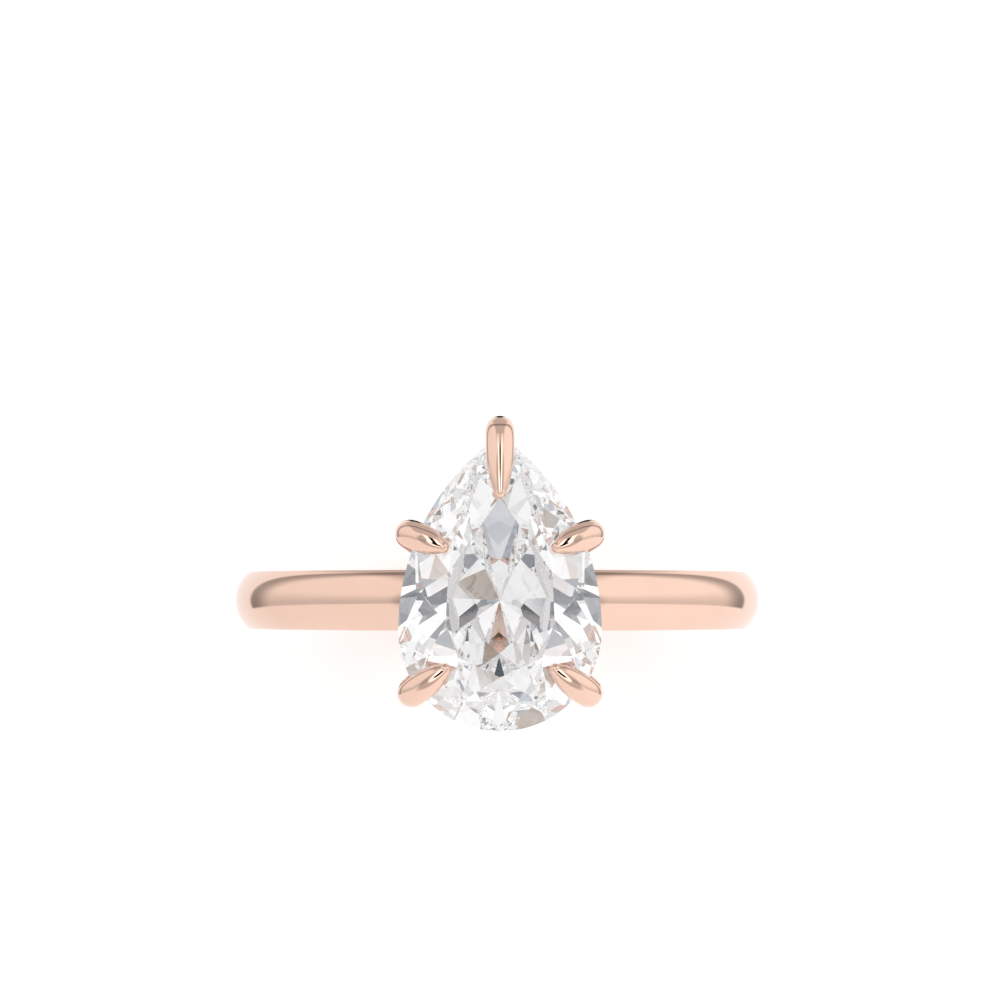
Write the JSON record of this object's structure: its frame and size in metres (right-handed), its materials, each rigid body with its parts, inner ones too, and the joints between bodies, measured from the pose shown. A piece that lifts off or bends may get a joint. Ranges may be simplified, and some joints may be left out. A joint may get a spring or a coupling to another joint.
{
  "type": "engagement ring",
  "caption": "Finger ring with a plain domed band and a pear-cut solitaire stone held up by tapered claws on open rails.",
  "frame": {"origin": "centre of the finger hole, half way across the band", "axes": "+Z out of the stone's table, Y along the finger hole with the stone's point towards +Y, X across the band"},
  "size_m": [0.0204, 0.0111, 0.0259],
  "materials": {
    "rose_gold": "polished rose gold",
    "diamond": "colourless, faceted and polished"
  },
  "bodies": {
    "root": {"shank": "rose_gold", "lower_rail": "rose_gold", "upper_rail": "rose_gold", "claw_point": "rose_gold", "claw_upper_left": "rose_gold", "claw_upper_right": "rose_gold", "claw_lower_left": "rose_gold", "claw_lower_right": "rose_gold", "stone": "diamond"}
  },
  "joints": []
}
